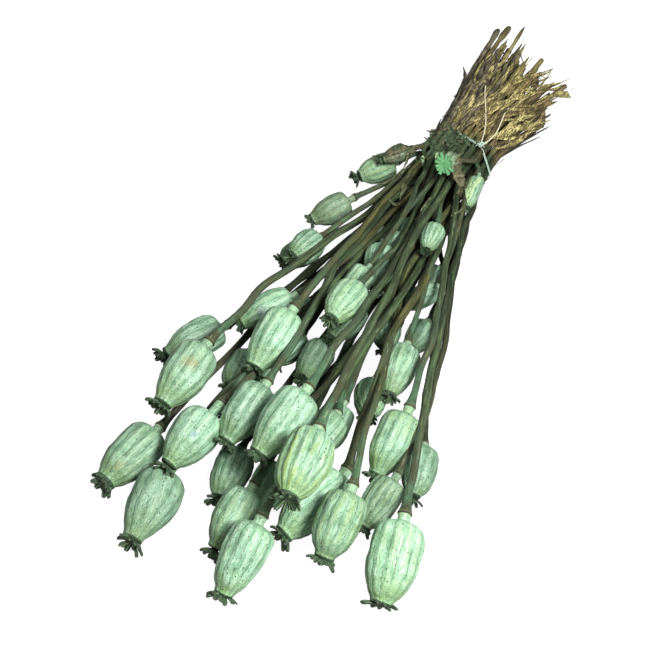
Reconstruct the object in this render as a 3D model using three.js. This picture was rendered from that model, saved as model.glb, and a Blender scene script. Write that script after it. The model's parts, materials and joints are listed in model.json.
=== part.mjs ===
// A tied bunch of dried poppy stalks, lying on a flat surface. Each stalk is one grown piece:
// a cut stem, a ring where the petals stood, a short neck, a seed head and its crown.
// Millimetres, +Z up. The bunch runs along X, with the cut ends at -X and the heads at +X.
import * as THREE from "three";

// Stems
const CUT_RADIUS = 3.3; // at the cut end
const TIE_RADIUS = 3.0; // where the thread holds the bunch
const CUT_END = -156; // how far behind the thread the middle stems are cut
const STEM_STEP = 58; // length of stem between two sections
const BEND_STEP = 24; // length of the section next to the thread, where stems bend most
const STEM_SIDES = 8;
const FLARE_LENGTH = 12; // the stem widens over this length to meet the ring
const GAP = 0.7; // clear space kept between two stalks

// Thread
const THREAD_RADIUS = 0.6;
const THREAD_TURNS = 2;
const THREAD_CLEAR = 0.55;
const THREAD_LEAN = 0.4; // how far the turns lean along the bunch, per mm across it
const THREAD_BACK = -7; // where the turns pass the middle of the bunch
const THREAD_STEPS = 84; // straight pieces in both turns together
const KNOT_RADIUS = 1.9;
const KNOT_ACROSS = 20; // where the knot sits, to the right of the middle of the bunch

// The stems pass the thread in close rows, from the lowest to the highest. Each row has one stem
// more or less than the next, so that its stems lie in the hollows between the others.
const ROWS = [8, 9, 10, 9, 8, 7];
const PITCH = 2 * TIE_RADIUS + 0.55;
const ROW_RISE = PITCH * Math.sin(Math.PI / 3);
const HALF_BUNDLE = ((Math.max(...ROWS) - 1) / 2) * PITCH;
const LOWEST_ROW = TIE_RADIUS + 2 * THREAD_RADIUS + 2 * THREAD_CLEAR;
const HELD_FROM = -24; // the stems run straight from here
const HELD_TO = 10; // to here

// A seed head's outline: how far along it from ring to tip, and radius, as shares of length and width.
const HEAD_OUTLINE = [
  [0.0, 0.125], // ring
  [0.085, 0.105], // neck
  [0.13, 0.33], // shoulder
  [0.21, 0.46],
  [0.42, 0.5], // widest
  [0.64, 0.465],
  [0.79, 0.34],
  [0.9, 0.19], // under the crown
  [0.94, 0.29], // crown, lower edge
  [0.985, 0.28], // crown, upper edge
];

// Each stalk: how far its ring is from the thread, the direction it fans out in, the ring's
// height, the head's width and its length from ring to crown, the way it faces, and how far it dips.
const STALKS = [
  // front row, nearest the surface
  [375, 17, 30, 35, 57, 16, 22],
  [398, 7, 34, 33, 52, 0, 28],
  [385, -4, 25, 34, 60, -3, 14],
  [365, -9, 24, 33, 55, -8, 13],
  [335, -4, 32, 33, 57, -10, 18],
  [276, -15, 20, 30, 52, -32, 7],
  [305, -9, 36, 34, 58, -11, 18],
  [355, 11, 28, 31, 48, 9, 22],
  [350, 0, 25, 27, 42, 8, 14],
  [384, 5, 34, 28, 47, -12, 28],
  // upper layers of the pile
  [225, -7, 34, 27, 48, -36, 16],
  [264, -4, 52, 33, 54, -7, 24],
  [276, -7, 25, 25, 36, 0, 14],
  [322, 2, 52, 30, 50, -11, 21],
  [332, 7, 64, 33, 54, -11, 20],
  [364, 10, 76, 34, 56, 8, 4],
  [358, 10, 42, 34, 60, -12, 22],
  // right side
  [240, 14, 34, 26, 48, 6, 14],
  [304, 16, 42, 31, 52, 1, 24],
  [310, 18, 20, 26, 42, 12, 11],
  [340, 15, 22, 26, 43, 4, 15],
  // among the stems
  [290, 7, 34, 26, 44, 10, 14],
  [229, 5, 64, 26, 42, 0, -5],
  [186, 3, 50, 22, 32, -18, 18],
  [226, 6, 38, 22, 38, -10, 15],
  [162, 7, 34, 24, 45, 0, 11],
  [130, 4, 34, 19, 26, -6, 16],
  [127, 14, 40, 18, 30, 14, 12],
  [162, 11, 30, 20, 34, 8, 13],
  [157, 11, 17, 20, 34, 8, 4],
  [190, 13, 18, 22, 38, 6, 4],
  // left side
  [170, -12, 44, 27, 34, -22, 4],
  [160, -15, 20, 25, 38, -40, 8],
  [115, -21, 30, 26, 40, -45, 17],
  // short stalks, close to the thread
  [50, -54, 20, 28, 39, -40, 9],
  [44, -36, 38, 20, 28, -50, 10],
  [42, 13, 56, 20, 26, 0, -24],
  [52, 30, 32, 21, 38, 6, 14],
  // underneath
  [300, 3, 18, 28, 45, 0, 4],
  [320, 9, 18, 28, 45, 5, 4],
  [290, -3, 18, 27, 44, -5, 4],
  [262, 11, 18, 25, 40, 8, 4],
  [250, 3, 17, 25, 40, 2, 4],
  [215, -8, 17, 23, 36, -12, 4],
  [205, 12, 17, 23, 36, 10, 4],
  [345, 6, 22, 27, 44, 2, 8],
  [238, -4, 17, 24, 38, -6, 4],
  [180, 2, 17, 22, 34, 2, 4],
  [145, 10, 17, 21, 32, 8, 4],
  [120, -4, 17, 20, 30, -8, 4],
  [95, 3, 16, 17, 26, 3, 4],
];

// Dried scraps of leaf close to the thread.
const LEAF_THICKNESS = 1.2;
const LEAF_CLEAR = 0.6;
const LEAVES = [
  { name: "leaf_scrap_left", x: -66, y: -24, length: 38, width: 12, turn: 8 },
  { name: "leaf_scrap_top", x: 14, y: -8, length: 34, width: 10, turn: -14 },
];

// How the stalks lie on each other.
const ROUNDS = 420;
const CALM_ROUNDS = 120; // the last rounds, in which only touching stalks still move
const STEM_STIFFNESS = 0.3;
const HEAD_PULL = 0.08;
const WAVE = 1.0; // how far a stem's sections wander to the side
const LOOK_AGAIN = 8; // rounds between two searches for neighbours
const NEIGHBOUR_REACH = 9;
const CROWN_THICKNESS = 2.5;
const LEAST_WEIGHT = 0.4; // a push close to the thread moves the rest of the stem no further than this allows

const degrees = THREE.MathUtils.degToRad;

function seededRandom(seed) {
  let state = seed;
  return () => {
    state = (state * 16807) % 2147483647;
    return state / 2147483647;
  };
}

// A direction that faces so far to the left of +X and dips so far below the level.
function facing(turn, dip) {
  const level = Math.cos(degrees(dip));
  return new THREE.Vector3(
    level * Math.cos(degrees(turn)),
    level * Math.sin(degrees(turn)),
    -Math.sin(degrees(dip)),
  );
}

// Places in the thread, row by row from the bottom and from right to left in each row.
function tiePlaces() {
  return ROWS.map((count, row) =>
    Array.from({ length: count }, (_, i) => ({
      y: (i - (count - 1) / 2) * PITCH,
      z: LOWEST_ROW + row * ROW_RISE,
    })),
  );
}

// Low stalks take the low rows, and in each row they lie in the order in which they fan out.
function shareOutPlaces(stalks) {
  const pileHeight = (reach) => 46 + 0.11 * reach;
  const fromBelow = [...stalks].sort(
    (a, b) => a.lift / pileHeight(a.reach) - b.lift / pileHeight(b.reach),
  );
  for (const places of tiePlaces()) {
    const rowStalks = fromBelow
      .splice(0, places.length)
      .sort((a, b) => a.fan - b.fan);
    rowStalks.forEach((stalk, i) => (stalk.place = places[i]));
  }
}

// A smooth way from one point to another that leaves and arrives in the given directions,
// and turns within the given lengths from its ends.
function smoothWay(from, leaving, turnFrom, to, arriving, turnTo) {
  const third = from.distanceTo(to) / 3;
  return new THREE.CubicBezierCurve3(
    from,
    from.clone().addScaledVector(leaving, Math.min(third, turnFrom)),
    to.clone().addScaledVector(arriving, -Math.min(third, turnTo)),
    to,
  );
}

// Points along a way: a short step at the end next to the thread, even steps along the rest.
function sectionsAlong(way, shortStepFirst) {
  const length = way.getLength();
  const shortShare = Math.min(BEND_STEP / length, 0.45);
  const steps = Math.max(1, Math.round((length * (1 - shortShare)) / STEM_STEP));
  const shares = [0];
  for (let i = 0; i < steps; i++) shares.push(shortShare + ((1 - shortShare) * i) / steps);
  shares.push(1);
  if (shortStepFirst) return shares.map((share) => way.getPointAt(share));
  return shares.reverse().map((share) => way.getPointAt(1 - share));
}

// The stalk's sections from the cut end to the ring, then the head's tip as the last one.
function layOut(stalk, random) {
  const { place, reach, fan } = stalk;
  const ring = new THREE.Vector3(
    reach * Math.cos(degrees(fan)),
    reach * Math.sin(degrees(fan)),
    stalk.lift,
  );
  const alongX = new THREE.Vector3(1, 0, 0);
  const tieFront = new THREE.Vector3(HELD_TO, place.y, place.z);
  const tieBack = new THREE.Vector3(HELD_FROM, place.y, place.z);
  const aside = place.y / HALF_BUNDLE;
  const cutEnd = new THREE.Vector3(
    CUT_END + 50 * aside + 15 * aside ** 2 + 55 * (random() - 0.5),
    (52 * aside + 10 * aside ** 2) * (0.85 + 0.3 * random()),
    CUT_RADIUS + (place.z - LOWEST_ROW) * (1 + 0.6 * random()),
  );
  const outwards = tieBack.clone().sub(cutEnd).normalize();
  const backWay = smoothWay(cutEnd, outwards, 40, tieBack, alongX, 40);
  const frontWay = smoothWay(tieFront, alongX, 60, ring, stalk.facing, 50);
  const back = sectionsAlong(backWay, false);
  const front = sectionsAlong(frontWay, true);
  const tip = ring.clone().addScaledVector(stalk.facing, stalk.length);
  stalk.nodes = [...back, ...front, tip];
  stalk.firstHeld = back.length - 1;
  stalk.ringNode = stalk.nodes.length - 2;
  stalk.cutGoal = cutEnd.clone();
  stalk.ringGoal = ring.clone();
  stalk.tipGoal = tip.clone();
  rememberBends(stalk, random);
  stalk.topRadius = 1.65 + 0.028 * stalk.width;
  stalk.radii = stalk.nodes.map((node) => {
    const share = THREE.MathUtils.clamp(node.x / reach, 0, 1);
    if (node.x < HELD_FROM - 1) return CUT_RADIUS;
    return THREE.MathUtils.lerp(TIE_RADIUS, stalk.topRadius, share);
  });
}

// A grown stem keeps its own bends: how far each section stands off the line between its neighbours.
function rememberBends(stalk, random) {
  const { nodes } = stalk;
  stalk.bends = nodes.map((node, i) => {
    if (i === 0 || i > stalk.ringNode - 1) return null;
    const before = node.distanceTo(nodes[i - 1]);
    const share = before / (before + node.distanceTo(nodes[i + 1]));
    const wander = new THREE.Vector3(0, WAVE * (2 * random() - 1), WAVE * (2 * random() - 1));
    const off = node.clone().sub(nodes[i - 1].clone().lerp(nodes[i + 1], share));
    return { share, off: off.add(wander) };
  });
}

const isHeld = (stalk, i) => i === stalk.firstHeld || i === stalk.firstHeld + 1;

// A stalk as rods that can touch: stem rods between its sections, and head rods from ring to crown.
// Each end of a rod lies between two sections, a share of the way from one to the next.
function rodsOf(stalk) {
  const rods = [];
  for (let i = 0; i < stalk.ringNode; i++) {
    const last = i === stalk.ringNode - 1;
    rods.push({
      stalk,
      node: i,
      held: isHeld(stalk, i) && isHeld(stalk, i + 1),
      shares: [0, 1],
      radii: [stalk.radii[i], last ? stalk.topRadius + 0.5 : stalk.radii[i + 1]],
    });
  }
  for (let i = 0; i + 1 < HEAD_OUTLINE.length; i++) {
    const [[fromShare, fromRadius], [toShare, toRadius]] = HEAD_OUTLINE.slice(i, i + 2);
    rods.push({
      stalk,
      node: stalk.ringNode,
      shares: [fromShare, toShare],
      radii: [fromRadius * stalk.width, toRadius * stalk.width],
      isCrown: i + 2 === HEAD_OUTLINE.length,
    });
  }
  return rods;
}

function rodEnd(rod, end, target) {
  const { nodes } = rod.stalk;
  return target.lerpVectors(nodes[rod.node], nodes[rod.node + 1], rod.shares[end]);
}

// Where two straight rods come nearest, as a share of the way along each.
function nearestShares(a0, a1, b0, b1) {
  const along = a1.clone().sub(a0);
  const other = b1.clone().sub(b0);
  const between = a0.clone().sub(b0);
  const a = along.lengthSq();
  const e = other.lengthSq();
  const b = along.dot(other);
  const c = along.dot(between);
  const f = other.dot(between);
  const { clamp } = THREE.MathUtils;
  const spread = a * e - b * b;
  let s = spread > 1e-6 ? clamp((b * f - c * e) / spread, 0, 1) : 0.5;
  const t = clamp((b * s + f) / e, 0, 1);
  s = clamp((b * t - c) / a, 0, 1);
  return [s, t];
}

// A crown is a thin disc: it reaches out to its rim, but little way past its tip.
function reachTowards(rod, share, direction) {
  const radius = THREE.MathUtils.lerp(rod.radii[0], rod.radii[1], share);
  if (!rod.isCrown) return radius;
  const axis = rod.end1.clone().sub(rod.end0).normalize();
  const cosine = Math.min(1, Math.abs(axis.dot(direction)));
  return radius * Math.sqrt(1 - cosine * cosine) + CROWN_THICKNESS * cosine;
}

function moveRod(rod, share, shift, weightSum) {
  const { stalk, node } = rod;
  const at = THREE.MathUtils.lerp(rod.shares[0], rod.shares[1], share);
  if (!isHeld(stalk, node)) stalk.nodes[node].addScaledVector(shift, (1 - at) / weightSum);
  if (!isHeld(stalk, node + 1)) stalk.nodes[node + 1].addScaledVector(shift, at / weightSum);
}

function pushWeight(rod, share) {
  const { stalk, node } = rod;
  const at = THREE.MathUtils.lerp(rod.shares[0], rod.shares[1], share);
  return (isHeld(stalk, node) ? 0 : (1 - at) ** 2) + (isHeld(stalk, node + 1) ? 0 : at ** 2);
}

function separate(first, second) {
  const [s, t] = nearestShares(first.end0, first.end1, second.end0, second.end1);
  const apart = first.end0.clone().lerp(first.end1, s);
  apart.sub(second.end0.clone().lerp(second.end1, t));
  const distance = apart.length() || 1e-3;
  apart.divideScalar(distance);
  const needed = reachTowards(first, s, apart) + reachTowards(second, t, apart) + GAP;
  if (distance >= needed) return;
  const weights = pushWeight(first, s) + pushWeight(second, t);
  if (weights < 0.01) return;
  const shift = apart.multiplyScalar(needed - distance);
  const held = Math.max(weights, LEAST_WEIGHT);
  moveRod(first, s, shift, held);
  moveRod(second, t, shift.clone().negate(), held);
  for (const rod of [first, second]) placeEnds(rod);
}

function placeEnds(rod) {
  rod.end0 = rodEnd(rod, 0, rod.end0 ?? new THREE.Vector3());
  rod.end1 = rodEnd(rod, 1, rod.end1 ?? new THREE.Vector3());
}

function neighbours(rods) {
  const found = [];
  const middles = rods.map((rod) => rod.end0.clone().add(rod.end1).multiplyScalar(0.5));
  const sizes = rods.map((rod) => rod.end0.distanceTo(rod.end1) / 2 + Math.max(...rod.radii));
  for (let i = 0; i < rods.length; i++) {
    for (let j = i + 1; j < rods.length; j++) {
      if (rods[i].stalk === rods[j].stalk || (rods[i].held && rods[j].held)) continue;
      const near = sizes[i] + sizes[j] + NEIGHBOUR_REACH;
      if (middles[i].distanceToSquared(middles[j]) < near * near) found.push([rods[i], rods[j]]);
    }
  }
  return found;
}

function keepBends(stalk, strength) {
  const { nodes, ringNode, bends } = stalk;
  for (let i = 1; i < ringNode; i++) {
    if (isHeld(stalk, i)) continue;
    const own = nodes[i - 1].clone().lerp(nodes[i + 1], bends[i].share).add(bends[i].off);
    nodes[i].lerp(own, strength);
  }
}

function keepHeadLength(stalk) {
  const ring = stalk.nodes[stalk.ringNode];
  const tip = stalk.nodes[stalk.ringNode + 1];
  const middle = ring.clone().add(tip).multiplyScalar(0.5);
  const half = tip.clone().sub(ring).setLength(stalk.length / 2);
  ring.copy(middle).sub(half);
  tip.copy(middle).add(half);
}

function liftOffSurface(rod) {
  for (const [end, share] of [
    [rod.end0, rod.shares[0]],
    [rod.end1, rod.shares[1]],
  ]) {
    const radius = share === rod.shares[0] ? rod.radii[0] : rod.radii[1];
    const short = radius - end.z;
    if (short <= 0) continue;
    const { nodes } = rod.stalk;
    const weight = share ** 2 + (1 - share) ** 2;
    if (!isHeld(rod.stalk, rod.node)) nodes[rod.node].z += (short * (1 - share)) / weight;
    if (!isHeld(rod.stalk, rod.node + 1)) nodes[rod.node + 1].z += (short * share) / weight;
    placeEnds(rod);
  }
}

// The stalks are pushed clear of each other and of the surface, while their stems stay as
// straight and their heads as near to their places as they can.
function settle(stalks) {
  const rods = stalks.flatMap(rodsOf);
  let near = [];
  for (let round = 0; round < ROUNDS; round++) {
    const calm = Math.min(1, (ROUNDS - round) / CALM_ROUNDS);
    for (const stalk of stalks) {
      stalk.nodes[stalk.ringNode].lerp(stalk.ringGoal, HEAD_PULL * calm);
      stalk.nodes[stalk.ringNode + 1].lerp(stalk.tipGoal, HEAD_PULL * calm);
      stalk.nodes[0].lerp(stalk.cutGoal, HEAD_PULL * calm);
      keepBends(stalk, STEM_STIFFNESS * calm);
      keepHeadLength(stalk);
    }
    rods.forEach(placeEnds);
    if (round % LOOK_AGAIN === 0) near = neighbours(rods);
    for (const [first, second] of near) separate(first, second);
    for (const rod of rods) liftOffSurface(rod);
  }
  stalks.forEach(keepHeadLength);
  rods.forEach(placeEnds);
  return rods;
}

// Centre and direction of the stalk at a distance from its cut end.
function stationOn(stalk, distance) {
  const { nodes, runs } = stalk;
  let i = 0;
  while (i < nodes.length - 2 && distance > runs[i + 1]) i++;
  const share = (distance - runs[i]) / (runs[i + 1] - runs[i]);
  const way = nodes[i + 1].clone().sub(nodes[i]).normalize();
  const centre = nodes[i].clone().lerp(nodes[i + 1], share);
  const inHead = i === stalk.ringNode;
  if (share < 1e-3 && i > 0 && !inHead) {
    way.add(nodes[i].clone().sub(nodes[i - 1]).normalize()).normalize();
  }
  if (share > 1 - 1e-3 && i < stalk.ringNode) {
    way.add(nodes[i + 2].clone().sub(nodes[i + 1]).normalize()).normalize();
  }
  return { centre, way };
}

// The stalk as if turned straight on a lathe, then bent along its way.
function stalkGeometry(stalk) {
  const { nodes, radii, ringNode, width, length, topRadius } = stalk;
  stalk.runs = [0];
  nodes.slice(1).forEach((node, i) => stalk.runs.push(stalk.runs[i] + node.distanceTo(nodes[i])));
  const ringRun = stalk.runs[ringNode];
  const flareRun = ringRun - Math.min(FLARE_LENGTH, 0.6 * (ringRun - stalk.runs[ringNode - 1]));
  const outline = [
    new THREE.Vector2(0, 0),
    ...radii.slice(0, ringNode).map((radius, i) => new THREE.Vector2(radius, stalk.runs[i])),
    new THREE.Vector2(topRadius, flareRun),
    ...HEAD_OUTLINE.map(
      ([along, radius]) => new THREE.Vector2(radius * width, ringRun + along * length),
    ),
    new THREE.Vector2(0, ringRun + length),
  ];
  const geometry = new THREE.LatheGeometry(outline, STEM_SIDES);
  const position = geometry.getAttribute("position");
  const up = new THREE.Vector3(0, 0, 1);
  const bent = new THREE.Vector3();
  for (let i = 0; i < position.count; i++) {
    const { centre, way } = stationOn(stalk, position.getY(i));
    const side = new THREE.Vector3().crossVectors(way, up).normalize();
    const top = new THREE.Vector3().crossVectors(side, way);
    bent.copy(centre);
    bent.addScaledVector(side, position.getX(i));
    bent.addScaledVector(top, position.getZ(i));
    position.setXYZ(i, bent.x, bent.y, bent.z);
  }
  return geometry;
}

const stalkMaterial = new THREE.MeshStandardMaterial({ color: 0x8fa878, roughness: 0.8 });
const leafMaterial = new THREE.MeshStandardMaterial({ color: 0x4f5a3a, roughness: 0.9 });
const threadMaterial = new THREE.MeshStandardMaterial({ color: 0xc9cdb4, roughness: 0.5 });

function makeStalk(stalk, index) {
  const mesh = new THREE.Mesh(stalkGeometry(stalk), stalkMaterial);
  mesh.name = `poppy_stalk_${String(index + 1).padStart(2, "0")}`;
  return mesh;
}

// The outline that a tight thread takes round all the stems, seen along the bunch.
function threadOutline(radius) {
  const corners = [];
  for (const { y, z } of tiePlaces().flat()) {
    for (let i = 0; i < 16; i++) {
      const angle = (i * Math.PI) / 8;
      corners.push(new THREE.Vector2(y + radius * Math.cos(angle), z + radius * Math.sin(angle)));
    }
  }
  corners.sort((a, b) => a.x - b.x || a.y - b.y);
  const halfHull = (points) => {
    const hull = [];
    for (const p of points) {
      while (
        hull.length > 1 &&
        hull.at(-1).clone().sub(hull.at(-2)).cross(p.clone().sub(hull.at(-1))) <= 0
      )
        hull.pop();
      hull.push(p);
    }
    return hull.slice(0, -1);
  };
  return [...halfHull(corners), ...halfHull([...corners].reverse())];
}

// The outline's point at a share of the way round, starting from the knot.
function roundTheStems(outline) {
  const ring = [...outline, outline[0]];
  const path = new THREE.CurvePath();
  for (let i = 0; i + 1 < ring.length; i++) {
    path.add(new THREE.LineCurve(ring[i], ring[i + 1]));
  }
  let start = 0;
  let best = Infinity;
  for (let i = 0; i < 400; i++) {
    const point = path.getPointAt(i / 400);
    const off = Math.abs(point.x - KNOT_ACROSS) + (point.y < LOWEST_ROW + 3 * ROW_RISE ? 1000 : 0);
    if (off < best) [best, start] = [off, i / 400];
  }
  return (share) => path.getPointAt((((start + share) % 1) + 1) % 1);
}

function tubeAlong(points, radius, sides, steps) {
  const section = new THREE.Shape();
  for (let i = 0; i < sides; i++) {
    const angle = (2 * Math.PI * i) / sides;
    const corner = [radius * Math.cos(angle), radius * Math.sin(angle)];
    if (i === 0) section.moveTo(...corner);
    else section.lineTo(...corner);
  }
  section.closePath();
  const way = new THREE.CatmullRomCurve3(points, false, "centripetal");
  return new THREE.ExtrudeGeometry(section, { steps, extrudePath: way });
}

function makeThread() {
  const hold = TIE_RADIUS + THREAD_RADIUS + THREAD_CLEAR;
  const outlineAt = roundTheStems(threadOutline(hold));
  const knotRoom = 0.03;
  const points = [];
  for (let i = 0; i <= THREAD_STEPS; i++) {
    const share = knotRoom + (i / THREAD_STEPS) * (THREAD_TURNS - 2 * knotRoom);
    const { x: y, y: z } = outlineAt(share);
    const besideLast = (share - THREAD_TURNS / 2) * 2.6 * THREAD_RADIUS;
    points.push(new THREE.Vector3(THREAD_BACK + THREAD_LEAN * y + besideLast, y, z));
  }
  const mesh = new THREE.Mesh(tubeAlong(points, THREAD_RADIUS, 6, THREAD_STEPS), threadMaterial);
  mesh.name = "tie_thread";
  return mesh;
}

// Height of the top of the pile close to a point, with room for a thread or a leaf to lie on it.
function topOfPile(rods, x, y, spare) {
  let top = 0;
  for (const { end0, end1, radii } of rods) {
    if (end1.x < x - spare || end0.x > x + spare) continue;
    const share = THREE.MathUtils.clamp((x - end0.x) / (end1.x - end0.x), 0, 1);
    const centre = end0.clone().lerp(end1, share);
    const off = Math.max(0, Math.abs(y - centre.y) - spare);
    const radius = THREE.MathUtils.lerp(radii[0], radii[1], share);
    if (off < radius) top = Math.max(top, centre.z + Math.sqrt(radius ** 2 - off ** 2));
  }
  return top;
}

function makeKnot(rods) {
  const geometry = new THREE.TorusKnotGeometry(KNOT_RADIUS, THREAD_RADIUS, 42, 6, 2, 3);
  const mesh = new THREE.Mesh(geometry, threadMaterial);
  mesh.name = "tie_knot";
  const x = THREAD_BACK + THREAD_LEAN * KNOT_ACROSS;
  const top = topOfPile(rods, x, KNOT_ACROSS, KNOT_RADIUS + 2);
  mesh.position.set(x, KNOT_ACROSS, top + 0.5 * KNOT_RADIUS + 4.2 * THREAD_RADIUS);
  return mesh;
}

// A tail starts beside the knot and lies on the stems towards the cut ends.
function makeTail(rods, name, beside, length, lean) {
  const startX = THREAD_BACK + THREAD_LEAN * KNOT_ACROSS - 1.5 * KNOT_RADIUS - 2;
  const points = [];
  for (let i = 0; i <= 12; i++) {
    const along = i / 12;
    const x = startX - length * along;
    const y = KNOT_ACROSS + beside + lean * along + 2 * Math.sin(5 * along);
    const top = topOfPile(rods, x, y, 3);
    points.push(new THREE.Vector3(x, y, top + THREAD_RADIUS + THREAD_CLEAR));
  }
  const mesh = new THREE.Mesh(tubeAlong(points, THREAD_RADIUS, 8, 30), threadMaterial);
  mesh.name = name;
  return mesh;
}

// A dried scrap of leaf, a thin lance shape that lies over the stems.
function makeLeaf(rods, { name, x, y, length, width, turn }) {
  const outline = new THREE.Shape();
  const steps = 7;
  const halfWidth = (share) => 0.8 + (width / 2 - 0.8) * Math.sin(Math.PI * share ** 0.8);
  for (let i = 0; i <= steps; i++) {
    const share = i / steps;
    if (i === 0) outline.moveTo(0, -halfWidth(0));
    else outline.lineTo(share * length, -halfWidth(share));
  }
  for (let i = steps; i >= 0; i--) outline.lineTo((i / steps) * length, halfWidth(i / steps));
  const geometry = new THREE.ExtrudeGeometry(outline, { depth: LEAF_THICKNESS, bevelEnabled: false });
  geometry.rotateZ(degrees(turn));
  geometry.translate(x, y, 0);
  const position = geometry.getAttribute("position");
  const along = new THREE.Vector2(Math.cos(degrees(turn)), Math.sin(degrees(turn)));
  for (let i = 0; i < position.count; i++) {
    const run = (position.getX(i) - x) * along.x + (position.getY(i) - y) * along.y;
    let rest = 0;
    for (const side of [-0.5, 0, 0.5]) {
      const underX = x + run * along.x - side * width * along.y;
      const underY = y + run * along.y + side * width * along.x;
      rest = Math.max(rest, topOfPile(rods, underX, underY, width / 4 + 2));
    }
    position.setZ(i, position.getZ(i) + rest + LEAF_CLEAR);
  }
  const mesh = new THREE.Mesh(geometry, leafMaterial);
  mesh.name = name;
  return mesh;
}

const random = seededRandom(41);
const stalks = STALKS.map(([reach, fan, lift, width, length, turn, dip]) => ({
  reach,
  fan,
  lift,
  width,
  length,
  facing: facing(turn, dip),
}));
shareOutPlaces(stalks);
for (const stalk of stalks) layOut(stalk, random);
const rods = settle(stalks);

const bunch = new THREE.Group();
stalks.forEach((stalk, i) => bunch.add(makeStalk(stalk, i)));
bunch.add(makeThread());
bunch.add(makeKnot(rods));
bunch.add(makeTail(rods, "tie_tail_long", -1.5, 80, -26));
bunch.add(makeTail(rods, "tie_tail_short", 1.5, 56, 2));
for (const leaf of LEAVES) bunch.add(makeLeaf(rods, leaf));

// The origin is on the surface, under the middle of the bunch.
const box = new THREE.Box3().setFromObject(bunch, true);
const middle = box.getCenter(new THREE.Vector3());
bunch.position.set(-middle.x, -middle.y, -box.min.z);

const part = new THREE.Group();
part.add(bunch);

export default part;
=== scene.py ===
import json
import math
import random

import bmesh
import bpy
import numpy as np
from mathutils import Matrix, Vector
from mathutils.bvhtree import BVHTree

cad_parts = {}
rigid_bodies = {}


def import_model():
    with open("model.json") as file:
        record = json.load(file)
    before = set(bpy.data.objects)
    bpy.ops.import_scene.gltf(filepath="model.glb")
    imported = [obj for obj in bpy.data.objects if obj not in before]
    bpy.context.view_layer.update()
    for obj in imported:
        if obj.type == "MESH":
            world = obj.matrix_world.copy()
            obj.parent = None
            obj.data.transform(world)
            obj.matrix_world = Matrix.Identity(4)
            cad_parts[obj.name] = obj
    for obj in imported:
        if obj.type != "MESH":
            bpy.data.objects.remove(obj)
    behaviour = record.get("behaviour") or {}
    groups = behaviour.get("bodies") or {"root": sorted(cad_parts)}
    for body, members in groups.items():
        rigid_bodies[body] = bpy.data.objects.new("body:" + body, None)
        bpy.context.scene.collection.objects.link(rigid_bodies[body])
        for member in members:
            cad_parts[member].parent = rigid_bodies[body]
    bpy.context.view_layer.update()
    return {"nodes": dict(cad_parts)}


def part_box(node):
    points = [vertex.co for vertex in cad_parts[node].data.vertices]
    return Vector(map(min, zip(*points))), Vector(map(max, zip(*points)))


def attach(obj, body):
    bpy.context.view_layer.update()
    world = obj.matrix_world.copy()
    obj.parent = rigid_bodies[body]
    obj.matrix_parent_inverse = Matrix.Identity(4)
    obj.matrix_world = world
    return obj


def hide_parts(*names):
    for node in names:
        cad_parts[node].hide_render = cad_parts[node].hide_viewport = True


for leftover in list(bpy.data.objects):
    bpy.data.objects.remove(leftover)
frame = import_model()

# A tied bunch of dried poppy seed heads lying on its side.
# The stalks run along X: cut ends at -X, heads at +X, and the string tie between them.

MM = 0.001
STALKS = 51
FRESH_CROWN = 37

MODEL_WIDTH = 34 * MM
MODEL_LENGTH = 57 * MM
FLARE_FROM = -15 * MM
END_LENGTH = 34 * MM
STEM_SIDES = 12
STEM_RINGS = 72
END_RADIUS = 3.0 * MM
TOP_RADIUS = 2.6 * MM
SLIVER_LENGTH = 40 * MM
# radians per metre of the fine lines round the petal scar
SCAR_WAVES = 4200.0
# the drawn heads and crowns next to their solids
HEAD_GIRTH = 0.94
HEAD_STRETCH = 0.97
CROWN_SPREAD = 1.17
CROWN_HEIGHT = 1.08

TIE = (Vector(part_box("tie_thread")[0]) + Vector(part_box("tie_thread")[1])) / 2

scene = bpy.context.scene


# ---- camera
def place_aimed(name, data, place, way):
    """Adds a camera or lamp that looks the given way."""
    holder = bpy.data.objects.new(name, data)
    scene.collection.objects.link(holder)
    holder.location = place
    holder.rotation_euler = way.to_track_quat("-Z", "Y").to_euler()
    return holder


def set_camera():
    eye = bpy.data.cameras.new("camera")
    eye.lens = 56.5
    eye.sensor_width = 36
    eye.clip_start = 0.01
    look = Vector((-0.6244, -0.3316, -0.7071))
    scene.camera = place_aimed("camera", eye, (0.5597, 0.2197, 0.532), look)


set_camera()


# ---- handling pieces
def pick(*pieces):
    bpy.ops.object.select_all(action="DESELECT")
    for piece in pieces:
        piece.select_set(True)
    bpy.context.view_layer.objects.active = pieces[0]


def new_piece(name):
    piece = bpy.context.object
    piece.name = name
    piece.data.name = name
    return piece


def copy_of(piece, name):
    twin = piece.copy()
    twin.data = piece.data.copy()
    twin.name = name
    twin.data.name = name
    scene.collection.objects.link(twin)
    return twin


def put_away(*pieces):
    for piece in pieces:
        data = piece.data
        bpy.data.objects.remove(piece)
        kept_in = bpy.data.meshes if isinstance(data, bpy.types.Mesh) else bpy.data.curves
        kept_in.remove(data)


def set_place(piece):
    pick(piece)
    bpy.ops.object.transform_apply(location=True, rotation=True, scale=True)


def add_piece(name, add, **settings):
    """Adds a primitive as a piece of its own."""
    bpy.ops.object.select_all(action="DESELECT")
    add(**settings)
    piece = new_piece(name)
    set_place(piece)
    return piece


def open_piece(piece):
    """Opens a piece in edit mode, selected all over."""
    pick(piece)
    bpy.ops.object.mode_set(mode="EDIT")
    bpy.ops.mesh.select_all(action="SELECT")


def open_circle(name, sides, height, radius, fill="NGON"):
    piece = add_piece(
        name, bpy.ops.mesh.primitive_circle_add, vertices=sides, radius=radius, fill_type=fill,
        location=(0, 0, height),
    )
    open_piece(piece)
    return piece


def open_block(name, size, place):
    piece = add_piece(name, bpy.ops.mesh.primitive_cube_add, size=1, location=place, scale=size)
    open_piece(piece)
    return piece


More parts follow.
